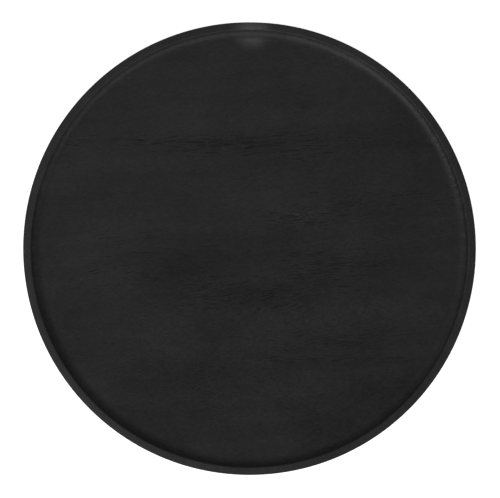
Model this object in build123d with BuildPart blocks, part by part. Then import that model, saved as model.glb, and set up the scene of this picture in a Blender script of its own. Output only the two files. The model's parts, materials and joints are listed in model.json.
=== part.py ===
from build123d import *
from math import cos, radians, sin
import os

# Round serving tray, turned on a lathe from a blank of edge-glued boards.
#
# The boards run along X and are joined edge to edge along Y by a tongue and groove.
# The blank is then turned: a flat floor, a shallow cove that rises to a low rim whose top
# falls a little outwards, and an outside that curves under so that fingers can lift it.
# Four rubber pads are stuck into shallow recesses below. It has no handles and nothing on
# it moves.
#
# Millimetres. +Z is up, +X runs along the grain. The origin is the centre of the tray on
# the table that its pads stand on.

# Overall
tray_diameter = 450.0
tray_height = 22.0  # table to the top of the rim
tray_depth = 4.9  # top of the rim down to the floor

# Turned profile
rim_width = 8.0  # top of the cove to the outside
rim_fall = 0.45  # how far the top of the rim falls towards the outside
rim_inner_ease = 1.4  # eased edge between the cove and the top of the rim, seen from above
rim_outer_chamfer = 0.5
cove_radius = 13.0  # hollow between the floor and the rim
cove_slope = 48.0  # degrees, where the cove ends at the rim
under_edge_radius = 14.0  # outside, where the wall curves under to the base

# Boards and their joints
board_count = 8
blank_allowance = 6.0  # how far the glued blank reaches past the tray before it is turned
tongue_thickness = 4.0
tongue_depth = 5.0
tongue_side_gap = 0.05  # glue film above and below the tongue
tongue_end_gap = 0.5  # room for squeezed glue at the end of the tongue

# Rubber pads, named by where they stand, with their angle from +X
pad_diameter = 20.0
pad_thickness = 3.0
pad_recess_depth = 1.0
pad_side_gap = 0.2
pad_edge_radius = 0.6
pad_inset = 46.0  # from the edge of the flat base to the pads' centres
pad_angles = {"back_right": 45, "back_left": 135, "front_left": 225, "front_right": 315}

# Worked out from the values above
tray_radius = tray_diameter / 2
base_z = pad_thickness - pad_recess_depth
floor_z = tray_height - tray_depth
rim_outer_z = tray_height - rim_fall
inner_radius = tray_radius - rim_width
floor_radius = inner_radius - cove_radius * sin(radians(cove_slope))
cove_rise = cove_radius * (1 - cos(radians(cove_slope)))
base_radius = tray_radius - under_edge_radius
pad_ring_radius = base_radius - pad_inset
board_width = tray_diameter / board_count
tongue_z = (base_z + floor_z) / 2

def turned_blank():
    """The whole tray as it leaves the lathe, with the recesses for its pads."""
    under_edge_top = (tray_radius, base_z + under_edge_radius)
    cove_top = (inner_radius, floor_z + cove_rise)
    with BuildPart() as turned:
        # The seam of the turned faces lies at +Y, in the middle of the last board.
        with BuildSketch(Plane.YZ):
            with BuildLine():
                Line((0, base_z), (base_radius, base_z))
                TangentArc((base_radius, base_z), under_edge_top, tangent=(1, 0))
                Polyline(
                    under_edge_top,
                    (tray_radius, rim_outer_z - rim_outer_chamfer),
                    (tray_radius - rim_outer_chamfer, rim_outer_z),
                    (inner_radius + rim_inner_ease, tray_height),
                    cove_top,
                )
                RadiusArc(cove_top, (floor_radius, floor_z), cove_radius)
                Polyline((floor_radius, floor_z), (0, floor_z), (0, base_z))
            make_face()
        revolve(axis=Axis.Z)
        with BuildSketch(Plane.XY.offset(base_z)):
            for angle in pad_angles.values():
                with PolarLocations(pad_ring_radius, 1, start_angle=angle):
                    Circle(pad_diameter / 2 + pad_side_gap)
        extrude(amount=pad_recess_depth, mode=Mode.SUBTRACT)
    return turned.part


def board(number, blank):
    """One board of the blank, counted from the front, turned to the tray's shape."""
    front = -tray_radius + number * board_width
    back = front + board_width
    blank_front = front - (blank_allowance if number == 0 else 0)
    blank_back = back + (blank_allowance if number == board_count - 1 else 0)
    with BuildPart() as piece:
        with BuildSketch(Plane.YZ.offset(-tray_radius - blank_allowance)):
            with Locations(((blank_front + blank_back) / 2, tray_height / 2)):
                Rectangle(blank_back - blank_front, tray_height + 2 * blank_allowance)
            if number < board_count - 1:
                with Locations((back, tongue_z)):
                    Rectangle(tongue_depth, tongue_thickness, align=(Align.MIN, Align.CENTER))
            if number > 0:
                with Locations((front, tongue_z)):
                    Rectangle(
                        tongue_depth + tongue_end_gap,
                        tongue_thickness + 2 * tongue_side_gap,
                        align=(Align.MIN, Align.CENTER),
                        mode=Mode.SUBTRACT,
                    )
        extrude(amount=tray_diameter + 2 * blank_allowance)
        add(blank, mode=Mode.INTERSECT)
    piece.part.label = f"board_{number + 1}"
    return piece.part


def pad(place, angle):
    """One rubber pad, with its edge rounded where it meets the table."""
    with BuildPart() as disc:
        with BuildSketch():
            with PolarLocations(pad_ring_radius, 1, start_angle=angle):
                Circle(pad_diameter / 2)
        extrude(amount=pad_thickness)
        fillet(disc.edges().group_by(Axis.Z)[0], pad_edge_radius)
    disc.part.label = f"pad_{place}"
    return disc.part


blank = turned_blank()
pieces = [board(number, blank) for number in range(board_count)]
pieces += [pad(place, angle) for place, angle in pad_angles.items()]

os.makedirs("parts", exist_ok=True)
for piece in pieces:
    export_step(piece, f"parts/{piece.label}.step")
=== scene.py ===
"""Looks for a round, black-stained serving tray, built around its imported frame.

The tray is turned from a blank of edge-glued boards, and each board is its own piece. The
wood's grain is a solid pattern in the tray's own coordinates, so it runs down the cove and
turns to end grain on the rim's left and right. Lengths are in metres, +X runs along the
grain, and the origin is the middle of the tray on the table.
"""

import json
import math

import bpy
from bpy.props import FloatProperty, FloatVectorProperty, IntProperty, PointerProperty
from bpy.types import Operator, Panel, PropertyGroup
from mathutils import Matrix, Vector


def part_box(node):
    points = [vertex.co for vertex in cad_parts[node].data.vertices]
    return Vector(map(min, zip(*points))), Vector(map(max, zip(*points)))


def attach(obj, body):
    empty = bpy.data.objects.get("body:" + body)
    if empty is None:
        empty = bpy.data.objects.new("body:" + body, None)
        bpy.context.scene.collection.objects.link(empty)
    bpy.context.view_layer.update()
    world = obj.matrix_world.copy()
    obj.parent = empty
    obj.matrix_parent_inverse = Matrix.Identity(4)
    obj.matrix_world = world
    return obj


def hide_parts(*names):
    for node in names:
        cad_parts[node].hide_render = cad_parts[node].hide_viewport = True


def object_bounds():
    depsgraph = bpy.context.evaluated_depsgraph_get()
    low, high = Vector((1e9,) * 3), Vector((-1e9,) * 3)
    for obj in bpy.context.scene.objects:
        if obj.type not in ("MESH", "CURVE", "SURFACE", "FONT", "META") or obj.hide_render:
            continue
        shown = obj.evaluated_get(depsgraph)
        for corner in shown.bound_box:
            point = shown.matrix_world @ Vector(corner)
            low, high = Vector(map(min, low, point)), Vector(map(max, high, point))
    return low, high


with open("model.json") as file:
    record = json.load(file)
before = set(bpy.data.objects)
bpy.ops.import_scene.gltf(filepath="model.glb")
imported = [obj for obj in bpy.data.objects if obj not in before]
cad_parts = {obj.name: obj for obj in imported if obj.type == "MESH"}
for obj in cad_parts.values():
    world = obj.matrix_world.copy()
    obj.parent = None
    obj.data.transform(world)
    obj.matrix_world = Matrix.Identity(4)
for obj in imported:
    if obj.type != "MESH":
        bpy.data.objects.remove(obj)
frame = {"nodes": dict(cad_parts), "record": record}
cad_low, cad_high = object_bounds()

bl_info = {
    "name": "Turned serving tray",
    "version": (1, 0, 0),
    "blender": (4, 5, 0),
    "location": "View3D > Sidebar > Tray",
    "description": "Makes a black-stained turned tray, its rubber pads and its studio",
    "category": "Object",
}

BODY = "root"
BOARDS = sorted(name for name in frame["nodes"] if name.startswith("board_"))
PADS = sorted(name for name in frame["nodes"] if name.startswith("pad_"))
MM = 0.001
CREASE = math.radians(32)  # edges that turn more than this are sharp
OVERHANG = 20 * MM  # how far a cutting block reaches past the tray
PAD_GAP = 0.2 * MM  # between a pad and the wall of its recess
SOFTBOX_DISTANCE = 2.2
FLOOR_REACH = 30.0

# Measures taken from the frame
first_board_low, first_board_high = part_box(BOARDS[0])
second_board_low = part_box(BOARDS[1])[0]
pad_low, pad_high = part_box(PADS[0])
serving_floor = next(m for m in frame["record"]["mounts"] if m["name"] == "serving_floor")


# --------------------------------------------------------------------------- node trees
def chosen(sockets, key):
    """The enabled socket with that number or name."""
    enabled = [s for s in sockets if s.enabled]
    return enabled[key] if isinstance(key, int) else next(s for s in enabled if s.name == key)


class Value:
    """A node's output that can stand in a Python expression, which adds Math nodes."""

    def __init__(self, tree, socket):
        self.tree, self.socket = tree, socket

    def __add__(self, other):
        return self.tree.math("ADD", self, other)

    def __sub__(self, other):
        return self.tree.math("SUBTRACT", self, other)

    def __rsub__(self, other):
        return self.tree.math("SUBTRACT", other, self)

    def __mul__(self, other):
        return self.tree.math("MULTIPLY", self, other)

    def __truediv__(self, other):
        return self.tree.math("DIVIDE", self, other)

    def __rtruediv__(self, other):
        return self.tree.math("DIVIDE", other, self)

    def __pow__(self, other):
        return self.tree.math("POWER", self, other)

    def __neg__(self):
        return self * -1.0

    __radd__, __rmul__ = __add__, __mul__

    def step(self, start, end):
        """0 at start, 1 at end, and a smooth step in between."""
        settings = {"interpolation_type": "SMOOTHSTEP", "clamp": True}
        values = {"Value": self, "From Min": start, "From Max": end}
        return self.tree.add("ShaderNodeMapRange", settings, values)[0]


class Outputs:
    """A node's outputs, by number or name."""

    def __init__(self, tree, node):
        self.tree, self.node = tree, node

    def __getitem__(self, key):
        return Value(self.tree, chosen(self.node.outputs, key))


class Tree:
    """A node tree that is being built."""

    def __init__(self, tree):
        self.tree = tree

    def add(self, kind, settings=None, values=None):
        """Adds a node: first its settings, then the values or links of its inputs."""
        node = self.tree.nodes.new(kind)
        for name, setting in (settings or {}).items():
            setattr(node, name, setting)
        for key, value in (values or {}).items():
            self.set(chosen(node.inputs, key), value)
        return Outputs(self, node)

    def set(self, socket, value):
        """Sets an input to a value, or links it to an output or to a list of them."""
        for each in value if isinstance(value, list) else [value]:
            if isinstance(each, Value):
                self.tree.links.new(each.socket, socket)
            else:
                socket.default_value = each

    def math(self, operation, *values):
        return self.add("ShaderNodeMath", {"operation": operation}, dict(enumerate(values)))[0]

    def vector(self, x, y, z):
        return self.add("ShaderNodeCombineXYZ", None, {"X": x, "Y": y, "Z": z})[0]


class MeshTree(Tree):
    """A Geometry Nodes tree. Its inputs are named as they are added."""

    def __init__(self, name):
        super().__init__(bpy.data.node_groups.new(name, "GeometryNodeTree"))
        self.group_input = self.tree.nodes.new("NodeGroupInput")

    def input(self, name, kind="Float"):
        """A named input of the tree."""
        made = self.tree.interface.new_socket(
            name=name, in_out="INPUT", socket_type="NodeSocket" + kind
        )
        return Value(
            self, next(s for s in self.group_input.outputs if s.identifier == made.identifier)
        )

    def by_index(self, kind, values):
        """The value whose number is the point's index."""
        switch = self.tree.nodes.new("GeometryNodeIndexSwitch")
        switch.data_type = kind
        for _ in values[2:]:
            switch.index_switch_items.new()
        self.set(switch.inputs["Index"], self.add("GeometryNodeInputIndex")[0])
        for number, value in enumerate(values):
            self.set(switch.inputs[number + 1], value)
        return Value(self, switch.outputs[0])

    def lathe(self, corners, path_radius, around, spacing):
        """A closed body turned about Z.

        Each corner is (radius, height, rounding, steps of the rounding). The first and last
        are on the axis. Long stretches are divided so that no step is over the spacing.
        """
        # Curve to Mesh lays a profile's X outwards from the path and its Y down.
        places = [self.vector(r - path_radius, -1.0 * z, 0.0) for r, z, _, _ in corners]
        values = {"Count": len(corners), "Position": self.by_index("VECTOR", places)}
        points = self.add("GeometryNodePoints", None, values)[0]
        profile = self.add("GeometryNodePointsToCurves", None, {"Points": points})[0]
        values = {
            "Curve": profile,
            "Radius": self.by_index("FLOAT", [rounding for _, _, rounding, _ in corners]),
            "Count": self.by_index("INT", [steps for _, _, _, steps in corners]),
        }
        profile = self.add("GeometryNodeFilletCurve", {"mode": "POLY"}, values)[0]
        here = self.add("GeometryNodeInputPosition")[0]
        values = {"Value": here, "Index": self.add("GeometryNodeInputIndex")[0] + 1}
        there = self.add("GeometryNodeFieldAtIndex", {"data_type": "FLOAT_VECTOR"}, values)[0]
        length = self.add("ShaderNodeVectorMath", {"operation": "DISTANCE"}, {0: here, 1: there})
        values = {"Curve": profile, "Cuts": self.math("FLOOR", length["Value"] / spacing)}
        profile = self.add("GeometryNodeSubdivideCurve", None, values)[0]
        values = {"Resolution": around, "Radius": path_radius}
        circle = self.add("GeometryNodeCurvePrimitiveCircle", None, values)[0]
        values = {"Curve": circle, "Profile Curve": profile}
        turned = self.add("GeometryNodeCurveToMesh", None, values)[0]
        outwards = self.add("GeometryNodeFlipFaces", None, {"Mesh": turned})[0]
        values = {"Geometry": outwards, "Distance": 1e-5}
        merged = self.add("GeometryNodeMergeByDistance", None, values)[0]
        # Half a step of turn keeps the joint at Y = 0 clear of the mesh's own edges.
        values = {"Geometry": merged, "Rotation": self.vector(0.0, 0.0, math.pi / around)}
        return self.add("GeometryNodeTransform", None, values)[0]

    def moved(self, geometry, x, y, z):
        values = {"Geometry": geometry, "Translation": self.vector(x, y, z)}
        return self.add("GeometryNodeTransform", None, values)[0]

    def block(self, low, high):
        """A box between two corners, each of three values."""
        size = self.vector(*[b - a for a, b in zip(low, high)])
        cube = self.add("GeometryNodeMeshCube", None, {"Size": size})[0]
        return self.moved(cube, *[(a + b) * 0.5 for a, b in zip(low, high)])

    def cut(self, solid, *others):
        """The solid without the others."""
        settings = {"operation": "DIFFERENCE", "solver": "MANIFOLD"}
        values = {0: solid, 1: list(others)}
        return self.add("GeometryNodeMeshBoolean", settings, values)[0]

    def joined(self, operation, *solids):
        """The union of the solids, or what they share."""
        settings = {"operation": operation, "solver": "MANIFOLD"}
        return self.add("GeometryNodeMeshBoolean", settings, {0: list(solids)})[0]

    def finish(self, geometry, material, crease):
        """Smooth faces with sharp creases, as one mesh of one material."""
        values = {"Geometry": geometry, "Shade Smooth": True}
        smooth = self.add("GeometryNodeSetShadeSmooth", {"domain": "FACE"}, values)[0]
        angle = self.add("GeometryNodeInputMeshEdgeAngle")["Unsigned Angle"]
        values = {
            "Geometry": smooth,
            "Selection": self.math("GREATER_THAN", angle, crease),
            "Shade Smooth": False,
        }
        creased = self.add("GeometryNodeSetShadeSmooth", {"domain": "EDGE"}, values)[0]
        real = self.add("GeometryNodeRealizeInstances", None, {"Geometry": creased})[0]
        values = {"Geometry": real, "Material": material}
        made = self.add("GeometryNodeSetMaterial", None, values)[0]
        self.tree.interface.new_socket(
            name="Geometry", in_out="OUTPUT", socket_type="NodeSocketGeometry"
        )
        self.set(self.tree.nodes.new("NodeGroupOutput").inputs[0], made)
        return self.tree


def made_piece(name, tree, inputs):
    """What a tree makes from these inputs, as an object with a plain mesh."""
    piece = bpy.data.objects.new(name, bpy.data.meshes.new(name + "_start"))
    bpy.context.scene.collection.objects.link(piece)
    maker = piece.modifiers.new(tree.name, "NODES")
    maker.node_group = tree
    for item in tree.interface.items_tree:
        if item.item_type == "SOCKET" and item.in_out == "INPUT":
            maker[item.identifier] = inputs[item.name]
    made = piece.evaluated_get(bpy.context.evaluated_depsgraph_get())
    mesh = bpy.data.meshes.new_from_object(made)
    piece.modifiers.remove(maker)
    piece.data = mesh
    mesh.materials.clear()
    mesh.materials.append(inputs["Material"])
    mesh.name = name
    if not mesh.polygons:
        raise RuntimeError(f"{name} came out empty")
    return piece


# ------------------------------------------------------------------- the tray's own trees
def board_tree():
    """One board: the whole turned tray, cut down to the board's own stretch of Y."""
    t = MeshTree("Turned board")
    radius, top, base = t.input("Tray Radius"), t.input("Top Height"), t.input("Base Height")
    floor, rim, fall = t.input("Floor Height"), t.input("Rim Width"), t.input("Rim Fall")
    inner_round, outer_round = t.input("Inner Edge Radius"), t.input("Outer Edge Radius")
    cove, slope = t.input("Cove Radius"), t.input("Cove Slope")
    under = t.input("Under Edge Radius")
    front, back = t.input("Front"), t.input("Back")
    tongue, tongue_thick = t.input("Tongue Depth"), t.input("Tongue Thickness")
    recess_radius, recess_top = t.input("Recess Radius"), t.input("Recess Top")
    recess_place = t.input("Recess Distance")
    around, spacing = t.input("Steps Around", "Int"), t.input("Longest Step")
    material = t.input("Material", "Material")

    # The cove's slope meets the rim at a corner that its rounding lowers to the top height.
    corner_height = top + inner_round * fall / rim * t.math("TANGENT", slope * 0.5)
    inner = radius - rim
    cove_foot = inner - (corner_height - floor) / t.math("TANGENT", slope)
    corners = [
        (0.0, base, 0.0, 1),
        (radius, base, under, 22),
        (radius, top - fall, outer_round, 6),
        (inner, corner_height, inner_round, 12),
        (cove_foot, floor, cove, 26),
        (0.0, floor, 0.0, 1),
    ]
    blank = t.lathe(corners, radius, around, spacing)

    clear, lap = radius + OVERHANG, 1 * MM
    tongue_low = (base + floor - tongue_thick) * 0.5
    tongue_high = tongue_low + tongue_thick
    slab = t.block((-clear, front, base - lap), (clear, back, top + lap))
    own_tongue = t.block((-clear, back - lap, tongue_low), (clear, back + tongue, tongue_high))
    groove = t.block((-clear, front - lap, tongue_low), (clear, front + tongue, tongue_high))
    slab = t.cut(t.joined("UNION", slab, own_tongue), groove)
    board = t.joined("INTERSECT", blank, slab)

    recesses = []
    for x_side in (-1, 1):
        for y_side in (-1, 1):
            values = {"Vertices": 96, "Radius": recess_radius, "Depth": recess_top}
            disc = t.add("GeometryNodeMeshCylinder", {"fill_type": "NGON"}, values)[0]
            x, y = recess_place * x_side, recess_place * y_side
            recesses.append(t.moved(disc, x, y, recess_top * 0.5))
    # A joint through the axis leaves copies of the pole, which are made one again.
    values = {"Geometry": t.cut(board, *recesses), "Distance": 1e-6}
    board = t.add("GeometryNodeMergeByDistance", None, values)[0]
    return t.finish(board, material, CREASE)


def pad_tree():
    """One rubber pad: a turned disc with fine grip ribs round its underside."""
    t = MeshTree("Rubber pad")
    radius, thickness = t.input("Pad Radius"), t.input("Pad Thickness")
    edge, groove = t.input("Pad Edge Radius"), t.input("Groove Depth")
    x, y = t.input("Place X"), t.input("Place Y")
    around, material = t.input("Steps Around", "Int"), t.input("Material", "Material")

    corners = [(0.0, groove, 0.0, 1)]
    for rib in (0.18, 0.38, 0.58, 0.78):
        for place, height in ((-0.07, groove), (-0.04, 0.0), (0.04, 0.0), (0.07, groove)):
            corners.append((radius * (rib + place), height, 0.08 * MM, 3))
    corners += [
        (radius * 0.89, groove, 0.08 * MM, 3),
        (radius * 0.91, 0.0, 0.08 * MM, 3),
        (radius, 0.0, edge, 6),
        (radius, thickness, 0.2 * MM, 4),
        (0.0, thickness, 0.0, 1),
    ]
    disc = t.lathe(corners, radius, around, 5 * MM)
    return t.finish(t.moved(disc, x, y, 0.0), material, CREASE)


# ----------------------------------------------------------------------------- materials
class Material(Tree):
    """A material's node tree, with the place on the piece in millimetres."""

    def __init__(self, name):
        self.material = bpy.data.materials.new(name)
        self.material.use_nodes = True
        super().__init__(self.material.node_tree)
        self.tree.nodes.clear()
        place = self.add("ShaderNodeTexCoord")["Object"]
        values = {"Vector": place, "Scale": 1 / MM}
        self.place = self.add("ShaderNodeVectorMath", {"operation": "SCALE"}, values)[0]
        parts = self.add("ShaderNodeSeparateXYZ", None, {"Vector": self.place})
        self.x, self.y, self.z = parts["X"], parts["Y"], parts["Z"]

    def noise(self, x, y, z, detail=2.0, roughness=0.5):
        """Noise about 0, rarely past -0.25 or 0.25."""
        values = {"Vector": self.vector(x, y, z), "Scale": 1.0}
        values.update({"Detail": detail, "Roughness": roughness})
        return self.add("ShaderNodeTexNoise", None, values)["Fac"] - 0.5

    def hill(self, u, v, middle_u, middle_v, reach_u, reach_v):
        """1 in the middle, and about a third at either reach."""
        du, dv = (u - middle_u) / reach_u, (v - middle_v) / reach_v
        return self.math("EXPONENT", -(du * du + dv * dv))

    def mix(self, share, first, second):
        values = {"Factor": share, "A": first, "B": second}
        return self.add("ShaderNodeMix", {"data_type": "RGBA"}, values)["Result"]

    def bump(self, height):
        """A normal from a height in millimetres."""
        return self.add("ShaderNodeBump", None, {"Height": height, "Distance": MM})[0]

    def surface(self, values):
        shader = self.add("ShaderNodeBsdfPrincipled", None, values)[0]
        self.add("ShaderNodeOutputMaterial", None, {"Surface": shader})
        return self.material


def grey(level):
    return (level, level, level, 1.0)


# Where open pores crowd: x, y, reach along, reach across in millimetres, and share added
PORE_PATCHES = [
    (-45, 106, 100, 4, 1.125),
    (25, 104, 60, 12, 0.675),
    (-60, 98, 40, 10, 0.3),
    (50, 29, 26, 9, 1.35),
    (75, -24, 44, 20, 1.125),
    (-12, -46, 60, 11, 0.975),
    (26, -52, 26, 8, 1.05),
    (95, -92, 44, 9, 1.2),
    (83, -110, 74, 3, 1.125),
    (-104, -7, 80, 26, 0.18),
    (120, 45, 60, 12, 0.3),
]
# Where the stain is paler or darker: the same four measures, and the change of tone
TONE_PATCHES = [
    (-118, 50, 34, 14, -0.182),
    (-64, -20, 46, 18, -0.286),
    (40, 100, 80, 14, -0.156),
    (20, -48, 32, 12, -0.286),
    (60, -28, 60, 26, -0.13),
    (145, 122, 36, 24, -0.182),
    (135, -17, 26, 24, -0.182),
    (150, -140, 44, 30, -0.208),
    (-98, -136, 50, 30, -0.156),
    (40, -170, 120, 34, -0.104),
    (-98, 88, 44, 18, 0.156),
    (-9, 127, 70, 18, 0.13),
    (31, -70, 40, 13, 0.182),
    (-89, -86, 44, 26, 0.156),
    (150, -57, 36, 14, 0.156),
    (-150, 20, 40, 50, 0.104),
]


def stained_wood(sizes, finish):
    """Open-pored wood under a thin black stain, turned and left slightly uneven."""
    m = Material("Black-stained wood")
    x, y, z = m.x, m.y, m.z
    radius = (x * x + y * y) ** 0.5
    turn_x, turn_y = x / radius, y / radius
    rim_radius, top = sizes.tray_radius / MM, sizes.top_height / MM
    inner, floor = rim_radius - sizes.rim_width / MM, sizes.floor_height / MM
    outside = 1.0 - z.step(floor - 3.0, floor - 1.0)

    # The grain rises a little to the right, and bends round two swirls
    across = y - x * 0.06 - m.noise(x * 0.008, y * 0.008, z * 0.008) * 8.0
    across = across - m.hill(x, y, 85, -45, 85, 25) * 20.0
    across = across - m.hill(x, y, -100, -8, 60, 26) * 11.0

    # Open pores: long thin cells, of which only some patches show many
    share = 0.02 + m.noise(x * 0.02, across * 0.08, z * 0.08, 2.0) * 0.12
    for patch_x, patch_y, along, over, amount in PORE_PATCHES:
        share = m.hill(x, y, patch_x, patch_y, along, over) * amount + share
    jog = m.noise(x * 0.01, across * 0.5, z * 0.5, 1.0) * 50.0
    pore_length, pore_width = 16.0, 0.64
    cells = m.vector((x + jog) / pore_length, across / pore_width, z / pore_width)
    cell = m.add("ShaderNodeTexVoronoi", None, {"Vector": cells, "Scale": 1.0})
    chance = m.add("ShaderNodeSeparateColor", None, {"Color": cell["Color"]})
    kept = (share - chance["Red"]).step(0.0, 0.08)
    pore = (0.50 - cell["Distance"]).step(0.0, 0.14) * kept * (chance["Green"] * 0.5 + 0.5)

    # Fibres, growth bands and the stain's own clouds, and painted light: a gradient that makes
    # the wood paler towards the back and darker towards the front
    fibre = m.noise(x * 0.30, across * 1.2, z * 1.2, 3.0, 0.65)
    band = m.noise(x * 0.006, across * 0.07, z * 0.07, 2.0, 0.5)
    cloud = m.noise(x * 0.016, y * 0.020, z * 0.02, 4.0, 0.6)
    tone = 0.76 + fibre * 1.9 + band * 0.15 + cloud * 1.1 + y * 0.0006
    # The rim's top is grittier, and it is painted paler all over as painted light
    grit = m.noise(x * 0.7, y * 0.7, z * 0.7, 3.0, 0.7)
    tone = tone + z.step(top - 0.9, top - 0.5) * (grit * 1.1 + 0.42)
    for patch_x, patch_y, along, over, amount in TONE_PATCHES:
        tone = m.hill(x, y, patch_x, patch_y, along, over) * amount + tone
    tone = tone - y.step(-95.0, -125.0) * 0.05
    # Each board takes the stain a little differently
    board = m.math("FLOOR", (y + rim_radius) / (sizes.board_width / MM))
    values = {"W": board + 0.5}
    uptake = m.add("ShaderNodeTexWhiteNoise", {"noise_dimensions": "1D"}, values)["Value"]
    tone = tone * (0.985 + uptake * 0.03)

    # Worn specks along the rim's two edges, most at the front left, and a painted highlight: a
    # glint of light on one patch of open pores
    arris = m.hill(radius, z, rim_radius - 0.5, top - 0.9, 0.9, 0.9)
    arris = arris + m.hill(radius, z, inner + 0.5, top - 0.9, 0.9, 0.9)
    speck = m.noise(x * 0.5, y * 0.5, z * 0.5, 3.0, 0.6).step(0.10, 0.22) * arris
    speck = speck * (m.hill(x, y, -160, -120, 120, 110) * 0.7 + 0.5)
    # Painted highlight: streaks of glint across the grain, between the pores, in one patch
    painted_glint = m.noise(x * 0.22, across * 1.1, z * 1.1, 2.0, 0.5).step(0.0, 0.12)
    painted_glint = painted_glint * m.hill(x, y, 50, 31, 26, 9) * (1.0 - pore)

    stain = m.mix(fibre + band + 0.5, finish.stain_dark, finish.stain_light)
    values = {0: stain, "Scale": tone * (1.0 - pore)}
    stain = m.add("ShaderNodeVectorMath", {"operation": "SCALE"}, values)[0]
    # Mixes in the worn specks and the painted glint of light
    stain = m.mix(speck * 0.5 + painted_glint * 0.45, stain, finish.wear_and_glint)

    roughness = finish.roughness + cloud * 0.12 + fibre * 0.15 + pore * 0.35 + outside * 0.08

    # Heights in millimetres
    cove = m.hill(radius, z, inner - 3.0, floor + 3.0, 6.0, 9.0)
    marks = m.noise(radius * 1.3, z * 1.3, 0.0, 2.0, 0.5) * (0.012 + outside * 0.03)
    uneven = m.noise(x * 0.03, y * 0.03, z * 0.03, 1.0) * 0.16
    ripple = m.noise(turn_x * 32.0, turn_y * 32.0, z * 0.2, 3.0, 0.6) * cove * 0.9
    height = uneven + ripple + marks + fibre * 0.03 - pore * finish.pore_depth / MM
    return m.surface(
        {
            "Base Color": stain,
            "Roughness": roughness,
            "Specular IOR Level": finish.specular,
            "Normal": m.bump(height),
        }
    )


def rubber(finish):
    """Matt moulded rubber with a fine grain."""
    m = Material("Black rubber")
    grain = m.noise(m.x * 3.0, m.y * 3.0, m.z * 3.0, 3.0, 0.6)
    scuff = m.noise(m.x * 0.5, m.y * 0.9, m.z * 0.5, 3.0, 0.65)
    dusty = scuff.step(0.02, 0.20) * (1.0 - m.z.step(0.0, 0.5))
    return m.surface(
        {
            "Base Color": m.mix(dusty * 0.5, finish.rubber, grey(0.09)),
            "Roughness": 0.78 + grain * 0.2,
            "Specular IOR Level": 0.35,
            "Normal": m.bump(grain * 0.02),
        }
    )


def paper(stage):
    """The pale floor: paper that is lit a little from below, so its shadows are soft."""
    m = Material("Pale paper")
    tooth = m.noise(m.x * 0.6, m.y * 0.6, m.z * 0.6, 3.0, 0.6)
    return m.surface(
        {
            "Base Color": m.mix(tooth + 0.5, grey(0.80), grey(0.84)),
            "Roughness": 0.75 + tooth * 0.1,
            "Emission Color": grey(1.0),
            "Emission Strength": stage.floor_glow,
            "Normal": m.bump(tooth * 0.02),
        }
    )


# --------------------------------------------------------------------------- user values
def length(name, description, default):
    return FloatProperty(
        name=name, description=description, default=default, unit="LENGTH", precision=5
    )


def colour(name, description, default):
    return FloatVectorProperty(
        name=name, description=description, default=default, subtype="COLOR", size=4
    )


def brightness(name, default, description="Its brightness"):
    return FloatProperty(name=name, description=description, default=default, min=0)


class TraySizes(PropertyGroup):
    """The tray's measures. Where the frame has one, the default comes from it."""

    tray_radius: length("Tray Radius", "To the outside of the rim", cad_high.x)
    top_height: length("Top Height", "Table to the top of the rim", cad_high.z)
    base_height: length("Base Height", "Table to the flat base", first_board_low.z)
    floor_height: length("Floor Height", "Table to the floor", serving_floor["pos_m"][2])
    rim_width: length("Rim Width", "Outside to the corner above the cove", 7.395 * MM)
    rim_fall: length("Rim Fall", "How far the rim's top falls to its outside", 0.496 * MM)
    inner_edge_radius: length("Inner Edge Radius", "Rounding inside the rim", 1.59 * MM)
    outer_edge_radius: length("Outer Edge Radius", "Rounding outside the rim", 0.5 * MM)
    cove_radius: length("Cove Radius", "Hollow between the floor and the rim", 13 * MM)
    cove_slope: FloatProperty(
        name="Cove Slope",
        description="How steep the cove is where it meets the rim",
        default=math.radians(48),
        unit="ROTATION",
    )
    under_edge_radius: length("Under Edge Radius", "Outside, down to the base", 14 * MM)
    board_width: length(
        "Board Width", "Across one board", (cad_high.y - cad_low.y) / len(BOARDS)
    )
    tongue_depth: length(
        "Tongue Depth",
        "How far a tongue stands into the next board",
        first_board_high.y - second_board_low.y,
    )
    tongue_thickness: length("Tongue Thickness", "Height of a tongue", 4 * MM)
    steps_around: IntProperty(
        name="Steps Around", description="Flat steps round the tray", default=1080, min=90
    )


class TrayFinish(PropertyGroup):
    """Colours and surface of the wood and the rubber."""

    stain_dark: colour("Stain, Dark", "Black stain over the denser wood", grey(0.0125))
    stain_light: colour("Stain, Light", "Black stain over the softer wood", grey(0.0205))
    # Pale colour for the worn specks on the rim, and for the painted highlight on one patch of
    # pores
    wear_and_glint: colour("Wear And Glint", "Where the stain is rubbed or dusty", (0.066, 0.063, 0.060, 1))
    roughness: FloatProperty(
        name="Roughness", description="Of the stained wood", default=0.41, min=0, max=1
    )
    specular: FloatProperty(
        name="Shine", description="Strength of the stain's reflection", default=0.28, min=0, max=1
    )
    pore_depth: length("Pore Depth", "Depth of the open pores", 0.10 * MM)
    rubber: colour("Rubber", "Colour of the pads", (0.024, 0.024, 0.025, 1))


class TrayStage(PropertyGroup):
    """Camera, lights and floor."""

    camera_distance: length("Camera Distance", "Above the rim", 2.0)
    camera_lens: FloatProperty(
        name="Lens", description="Focal length in millimetres", default=145.0, unit="CAMERA"
    )
    room_light: brightness("Room Light", 0.225, "Even light from all round")
    front_softbox: brightness("Front Softbox", 1.35)
    left_softbox: brightness("Left Softbox", 2.8)
    far_left_softbox: brightness("Far Left Softbox", 0.55)
    right_softbox: brightness("Right Softbox", 1.2)
    back_softbox: brightness("Back Softbox", 0.46)
    overhead_softbox: brightness("Overhead Softbox", 0.50)
    lamp_power: brightness("Lamp", 50.0, "Power of the small lamp in watts")
    floor_glow: brightness("Floor Glow", 0.85, "Light of the floor itself")


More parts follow.
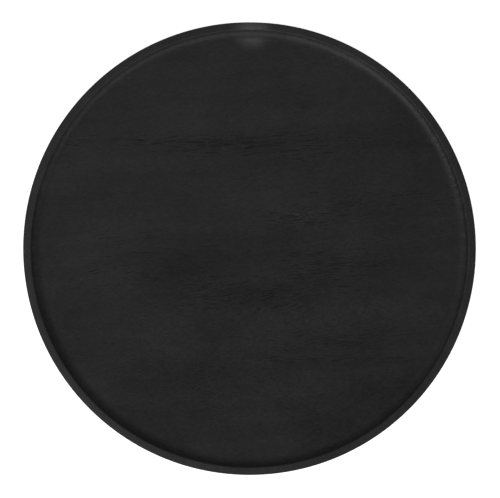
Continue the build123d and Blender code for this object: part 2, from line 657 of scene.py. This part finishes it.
# ----------------------------------------------------------------------------- operators
class TRAY_OT_boards(Operator):
    """Turn the eight boards of the tray and stain them black"""

    bl_idname = "tray.boards"
    bl_label = "Make Boards"

    def execute(self, context):
        sizes, finish = context.scene.tray_sizes, context.scene.tray_finish
        tree, wood = board_tree(), stained_wood(sizes, finish)
        for number, node in enumerate(BOARDS):
            # A board is as wide as the steps between joints; the outer two reach past the rim.
            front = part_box(node)[0].y if number else cad_low.y - OVERHANG
            last = number == len(BOARDS) - 1
            back = cad_high.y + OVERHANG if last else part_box(BOARDS[number + 1])[0].y
            piece = made_piece(
                "turned_" + node,
                tree,
                {
                    "Tray Radius": sizes.tray_radius,
                    "Top Height": sizes.top_height,
                    "Base Height": sizes.base_height,
                    "Floor Height": sizes.floor_height,
                    "Rim Width": sizes.rim_width,
                    "Rim Fall": sizes.rim_fall,
                    "Inner Edge Radius": sizes.inner_edge_radius,
                    "Outer Edge Radius": sizes.outer_edge_radius,
                    "Cove Radius": sizes.cove_radius,
                    "Cove Slope": sizes.cove_slope,
                    "Under Edge Radius": sizes.under_edge_radius,
                    "Front": front,
                    "Back": back,
                    "Tongue Depth": sizes.tongue_depth,
                    "Tongue Thickness": sizes.tongue_thickness,
                    "Recess Radius": (pad_high.x - pad_low.x) / 2 + PAD_GAP,
                    "Recess Top": pad_high.z,
                    "Recess Distance": abs(pad_high.x + pad_low.x) / 2,
                    "Steps Around": sizes.steps_around,
                    "Longest Step": 12 * MM,
                    "Material": wood,
                },
            )
            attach(piece, BODY)
            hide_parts(node)
        return {"FINISHED"}


class TRAY_OT_pads(Operator):
    """Mould the four rubber pads under the tray"""

    bl_idname = "tray.pads"
    bl_label = "Make Pads"

    def execute(self, context):
        tree, material = pad_tree(), rubber(context.scene.tray_finish)
        for node in PADS:
            low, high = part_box(node)
            piece = made_piece(
                "ribbed_" + node,
                tree,
                {
                    "Pad Radius": (high.x - low.x) / 2,
                    "Pad Thickness": high.z - low.z,
                    "Pad Edge Radius": 0.6 * MM,
                    "Groove Depth": 0.35 * MM,
                    "Place X": (high.x + low.x) / 2,
                    "Place Y": (high.y + low.y) / 2,
                    "Steps Around": 96,
                    "Material": material,
                },
            )
            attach(piece, BODY)
            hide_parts(node)
        return {"FINISHED"}


class TRAY_OT_stage(Operator):
    """Lay the floor, hang the lights and set up the camera"""

    bl_idname = "tray.stage"
    bl_label = "Set Stage"

    def light(self, name, kind, place, target, settings):
        lamp = bpy.data.lights.new(name, kind)
        for setting, value in settings.items():
            setattr(lamp, setting, value)
        hung = bpy.data.objects.new(name, lamp)
        hung.location = place
        hung.rotation_euler = (Vector(target) - Vector(place)).to_track_quat("-Z", "Y").to_euler()
        bpy.context.scene.collection.objects.link(hung)

    def softbox(self, name, side, from_overhead, size, brightness):
        """A softbox: which side it is on, its degrees from overhead, and its size."""
        angle = math.radians(from_overhead)
        away = Vector(side).normalized() * math.sin(angle) * SOFTBOX_DISTANCE
        height = math.cos(angle) * SOFTBOX_DISTANCE + 0.1
        power = brightness * size[0] * size[1] * math.pi
        settings = {"shape": "RECTANGLE", "size": size[0], "size_y": size[1], "energy": power}
        self.light(name, "AREA", (*away, height), (0, 0, 0), settings)

    def execute(self, context):
        scene, stage, sizes = context.scene, context.scene.tray_stage, context.scene.tray_sizes
        # The floor lies a hair low, so that it doesn't share a plane with the pads.
        mesh = bpy.data.meshes.new("Floor")
        far, low = FLOOR_REACH, -0.1 * MM
        corners = [(-far, -far, low), (far, -far, low), (far, far, low), (-far, far, low)]
        mesh.from_pydata(corners, [], [(0, 1, 2, 3)])
        mesh.materials.append(paper(stage))
        floor = bpy.data.objects.new("Floor", mesh)
        scene.collection.objects.link(floor)

        scene.world = bpy.data.worlds.new("Studio")
        scene.world.use_nodes = True
        room = scene.world.node_tree.nodes["Background"].inputs
        room["Color"].default_value = grey(1.0)
        room["Strength"].default_value = stage.room_light
        scene.view_settings.view_transform = "Standard"

        self.softbox("Front softbox", (0.0, -1.0), 54, (1.7, 1.4), stage.front_softbox)
        self.softbox("Left softbox", (-1.0, -0.95), 52, (1.2, 1.2), stage.left_softbox)
        self.softbox("Far left softbox", (-1.0, 0.35), 52, (1.2, 1.2), stage.far_left_softbox)
        self.softbox("Right softbox", (1.0, -0.9), 52, (1.3, 1.3), stage.right_softbox)
        self.softbox("Back softbox", (0.1, 1.0), 15, (1.1, 1.1), stage.back_softbox)
        self.softbox("Overhead softbox", (-1.0, -0.6), 21, (1.1, 1.1), stage.overhead_softbox)
        # A narrow lamp on the middle of the back rim
        narrow = {
            "energy": stage.lamp_power,
            "spot_size": math.radians(1.15),
            "spot_blend": 1.0,
            "shadow_soft_size": 0.01,
        }
        target = (0.003, 0.221, sizes.top_height)
        self.light("Small lamp", "SPOT", (0.0, 0.3, 2.0), target, narrow)

        lens = bpy.data.cameras.new("Camera")
        lens.sensor_width, lens.lens = 36.0, stage.camera_lens
        lens.clip_end = 20.0
        camera = bpy.data.objects.new("Camera", lens)
        camera.location = (0.00048, -0.00037, sizes.top_height + stage.camera_distance)
        scene.collection.objects.link(camera)
        scene.camera = camera
        return {"FINISHED"}


class VIEW3D_PT_tray(Panel):
    """The tray's values and the steps that make it"""

    bl_label = "Serving Tray"
    bl_space_type = "VIEW_3D"
    bl_region_type = "UI"
    bl_category = "Tray"

    def draw(self, context):
        scene = context.scene
        for group in (scene.tray_sizes, scene.tray_finish, scene.tray_stage):
            for name in group.__annotations__:
                self.layout.prop(group, name)
        for operator in (TRAY_OT_boards, TRAY_OT_pads, TRAY_OT_stage):
            self.layout.operator(operator.bl_idname)


CLASSES = (
    TraySizes,
    TrayFinish,
    TrayStage,
    TRAY_OT_boards,
    TRAY_OT_pads,
    TRAY_OT_stage,
    VIEW3D_PT_tray,
)


def register():
    for each in CLASSES:
        bpy.utils.register_class(each)
    bpy.types.Scene.tray_sizes = PointerProperty(type=TraySizes)
    bpy.types.Scene.tray_finish = PointerProperty(type=TrayFinish)
    bpy.types.Scene.tray_stage = PointerProperty(type=TrayStage)


def unregister():
    del bpy.types.Scene.tray_stage, bpy.types.Scene.tray_finish, bpy.types.Scene.tray_sizes
    for each in reversed(CLASSES):
        bpy.utils.unregister_class(each)


def main():
    register()
    bpy.ops.tray.boards()
    bpy.ops.tray.pads()
    bpy.ops.tray.stage()


if __name__ == "__main__":
    main()
